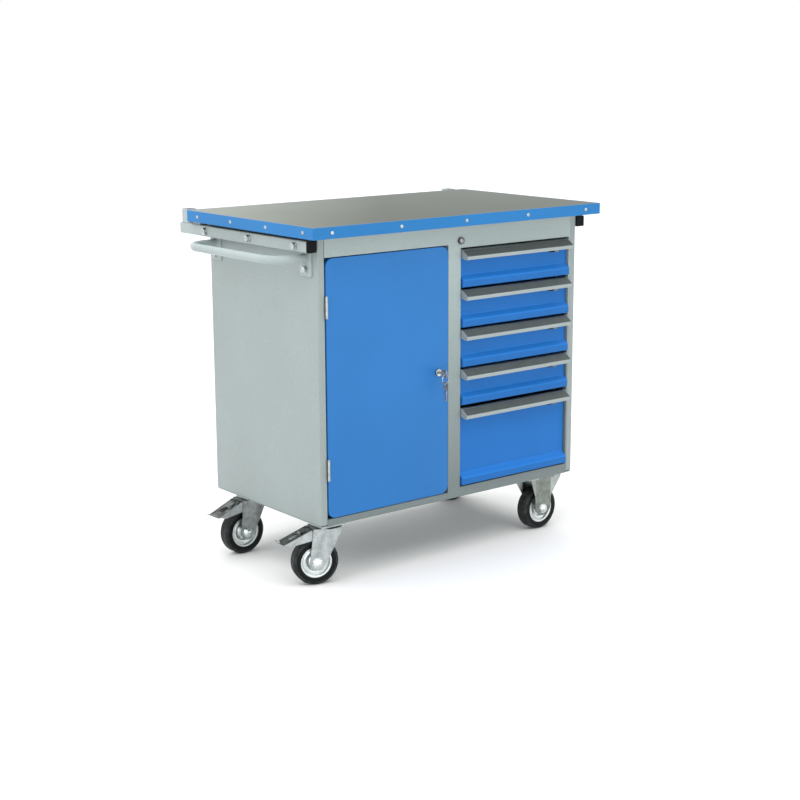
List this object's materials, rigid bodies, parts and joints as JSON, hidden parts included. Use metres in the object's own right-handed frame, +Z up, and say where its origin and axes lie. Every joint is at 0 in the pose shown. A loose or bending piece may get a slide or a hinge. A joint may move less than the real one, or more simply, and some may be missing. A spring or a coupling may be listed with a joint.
{
  "type": "tool cart",
  "caption": "Workshop tool cart: steel cabinet on casters with a lockable cupboard, a bank of drawers, a steel-clad worktop, side rails and a push handle.",
  "frame": {"origin": "on the floor, under the middle of the whole cart's box", "axes": "+X towards the fixed casters' end (right, seen from the front), +Y from the drawer fronts to the back, +Z up"},
  "size_m": [1.063, 0.6596, 0.952],
  "materials": {
    "grey_paint": "satin powder coat",
    "frame_paint": "satin powder coat",
    "inner_paint": "satin powder coat",
    "blue_paint": "satin powder coat",
    "drawer_paint": "satin powder coat",
    "band_paint": "satin powder coat",
    "worktop_steel": "brushed",
    "core_board": "raw board",
    "rail_paint": "satin powder coat",
    "handle_steel": "satin powder coat",
    "zinc": "zinc plated",
    "lock_metal": "nickel plated",
    "key_metal": "nickel plated",
    "grip_metal": "satin anodised",
    "catch_plastic": "matt",
    "cap_plastic": "matt",
    "rim_steel": "zinc plated",
    "tyre_rubber": "matt",
    "rivet_metal": "satin"
  },
  "bodies": {
    "cabinet": {"side_panel_left": "grey_paint", "side_panel_right": "grey_paint", "back_panel": "grey_paint", "base_panel": "inner_paint", "top_panel": "inner_paint", "front_frame": "frame_paint", "partition_panel": "inner_paint", "shelf": "inner_paint", "worktop_core": "core_board", "worktop_sheet": "worktop_steel", "worktop_band": "band_paint", "band_rivets": "rivet_metal", "side_rails": "rail_paint", "rail_caps": "cap_plastic", "hex_bolts": "zinc", "push_handle": "handle_steel", "runner_rails": "zinc", "hinge_frame_leaves": "zinc", "swivel_plates": "zinc", "fixed_forks": "zinc", "top_lock_housing": "lock_metal"},
    "door": {"door_panel": "blue_paint", "hinge_door_leaves": "zinc", "door_lock_housing": "lock_metal"},
    "door_lock": {"door_lock_plug": "key_metal"},
    "keys": {"key_ring": "key_metal"},
    "top_lock": {"top_lock_plug": "lock_metal"},
    "lock_bar": {"lock_bar": "zinc"},
    "drawer_1": {"drawer_box_1": "inner_paint", "drawer_front_1": "drawer_paint", "grip_1": "grip_metal"},
    "catch_1_body": {"catch_1": "catch_plastic"},
    "drawer_2": {"drawer_box_2": "inner_paint", "drawer_front_2": "drawer_paint", "grip_2": "grip_metal"},
    "catch_2_body": {"catch_2": "catch_plastic"},
    "drawer_3": {"drawer_box_3": "inner_paint", "drawer_front_3": "drawer_paint", "grip_3": "grip_metal"},
    "catch_3_body": {"catch_3": "catch_plastic"},
    "drawer_4": {"drawer_box_4": "inner_paint", "drawer_front_4": "drawer_paint", "grip_4": "grip_metal"},
    "catch_4_body": {"catch_4": "catch_plastic"},
    "drawer_5": {"drawer_box_5": "inner_paint", "drawer_front_5": "drawer_paint", "grip_5": "grip_metal"},
    "catch_5_body": {"catch_5": "catch_plastic"},
    "caster_front_left": {"fork_front_left": "zinc"},
    "wheel_front_left": {"rim_front_left": "rim_steel", "tyre_front_left": "tyre_rubber"},
    "pedal_front_left": {"brake_pedal_front_left": "zinc"},
    "caster_rear_left": {"fork_rear_left": "zinc"},
    "wheel_rear_left": {"rim_rear_left": "rim_steel", "tyre_rear_left": "tyre_rubber"},
    "pedal_rear_left": {"brake_pedal_rear_left": "zinc"},
    "wheel_front_right": {"rim_front_right": "rim_steel", "tyre_front_right": "tyre_rubber"},
    "wheel_rear_right": {"rim_rear_right": "rim_steel", "tyre_rear_right": "tyre_rubber"}
  },
  "joints": [
    {"name": "door_hinge", "type": "hinge", "parent": "cabinet", "child": "door", "pos_m": [-0.40525, -0.28275, 0.524], "axis": [0, 0, -1], "range_deg": [0, 110]},
    {"name": "door_lock_turn", "type": "hinge", "parent": "door", "child": "door_lock", "pos_m": [-0.0345, -0.27875, 0.526], "axis": [0, -1, 0], "range_deg": [0, 90]},
    {"name": "key_ring_swing", "type": "hinge", "parent": "door_lock", "child": "keys", "pos_m": [-0.0345, -0.31175, 0.5243], "axis": [-1, 0, 0], "range_deg": [-20, 60]},
    {"name": "lock_bar_lift", "type": "slide", "parent": "cabinet", "child": "lock_bar", "axis": [0, 0, 1], "range_m": [0, 0.01273]},
    {"name": "top_lock_turn", "type": "hinge", "parent": "cabinet", "child": "top_lock", "pos_m": [0.0465, -0.27725, 0.877], "axis": [0, 1, 0], "range_deg": [0, 90]},
    {"name": "drawer_1_slide", "type": "slide", "parent": "cabinet", "child": "drawer_1", "axis": [0, -1, 0], "range_m": [0, 0.4]},
    {"name": "catch_1_pull", "type": "hinge", "parent": "drawer_1", "child": "catch_1_body", "pos_m": [0.3835, -0.28625, 0.8375], "axis": [-1, 0, 0], "range_deg": [0, 15], "stiffness_Nm_per_rad": 0.05, "springref_deg": -5.73},
    {"name": "drawer_2_slide", "type": "slide", "parent": "cabinet", "child": "drawer_2", "axis": [0, -1, 0], "range_m": [0, 0.4]},
    {"name": "catch_2_pull", "type": "hinge", "parent": "drawer_2", "child": "catch_2_body", "pos_m": [0.3835, -0.28625, 0.7275], "axis": [-1, 0, 0], "range_deg": [0, 15], "stiffness_Nm_per_rad": 0.05, "springref_deg": -5.73},
    {"name": "drawer_3_slide", "type": "slide", "parent": "cabinet", "child": "drawer_3", "axis": [0, -1, 0], "range_m": [0, 0.4]},
    {"name": "catch_3_pull", "type": "hinge", "parent": "drawer_3", "child": "catch_3_body", "pos_m": [0.3835, -0.28625, 0.6175], "axis": [-1, 0, 0], "range_deg": [0, 15], "stiffness_Nm_per_rad": 0.05, "springref_deg": -5.73},
    {"name": "drawer_4_slide", "type": "slide", "parent": "cabinet", "child": "drawer_4", "axis": [0, -1, 0], "range_m": [0, 0.4]},
    {"name": "catch_4_pull", "type": "hinge", "parent": "drawer_4", "child": "catch_4_body", "pos_m": [0.3835, -0.28625, 0.5075], "axis": [-1, 0, 0], "range_deg": [0, 15], "stiffness_Nm_per_rad": 0.05, "springref_deg": -5.73},
    {"name": "drawer_5_slide", "type": "slide", "parent": "cabinet", "child": "drawer_5", "axis": [0, -1, 0], "range_m": [0, 0.4]},
    {"name": "catch_5_pull", "type": "hinge", "parent": "drawer_5", "child": "catch_5_body", "pos_m": [0.3835, -0.28625, 0.3975], "axis": [-1, 0, 0], "range_deg": [0, 15], "stiffness_Nm_per_rad": 0.05, "springref_deg": -5.73},
    {"name": "swivel_front_left", "type": "hinge", "parent": "cabinet", "child": "caster_front_left", "pos_m": [-0.3855, -0.24625, 0.162], "axis": [0, 0, 1], "continuous": true},
    {"name": "wheel_spin_front_left", "type": "hinge", "parent": "caster_front_left", "child": "wheel_front_left", "pos_m": [-0.42164, -0.23451, 0.0625], "axis": [0.309, 0.9511, 0], "continuous": true},
    {"name": "pedal_press_front_left", "type": "hinge", "parent": "caster_front_left", "child": "pedal_front_left", "pos_m": [-0.42687, -0.23281, 0.137], "axis": [-0.309, -0.9511, 0], "range_deg": [0, 12]},
    {"name": "swivel_rear_left", "type": "hinge", "parent": "cabinet", "child": "caster_rear_left", "pos_m": [-0.3855, 0.11275, 0.162], "axis": [0, 0, 1], "continuous": true},
    {"name": "wheel_spin_rear_left", "type": "hinge", "parent": "caster_rear_left", "child": "wheel_rear_left", "pos_m": [-0.4235, 0.11275, 0.0625], "axis": [0, 1, 0], "continuous": true},
    {"name": "pedal_press_rear_left", "type": "hinge", "parent": "caster_rear_left", "child": "pedal_rear_left", "pos_m": [-0.429, 0.11275, 0.137], "axis": [0, -1, 0], "range_deg": [0, 12]},
    {"name": "wheel_spin_front_right", "type": "hinge", "parent": "cabinet", "child": "wheel_front_right", "pos_m": [0.3805, -0.23425, 0.0625], "axis": [0, 1, 0], "continuous": true},
    {"name": "wheel_spin_rear_right", "type": "hinge", "parent": "cabinet", "child": "wheel_rear_right", "pos_m": [0.3805, 0.15275, 0.0625], "axis": [0, 1, 0], "continuous": true}
  ],
  "couplings": [
    {"joint": "top_lock_turn", "follows": "lock_bar_lift", "rad_per_m": 123.4}
  ]
}
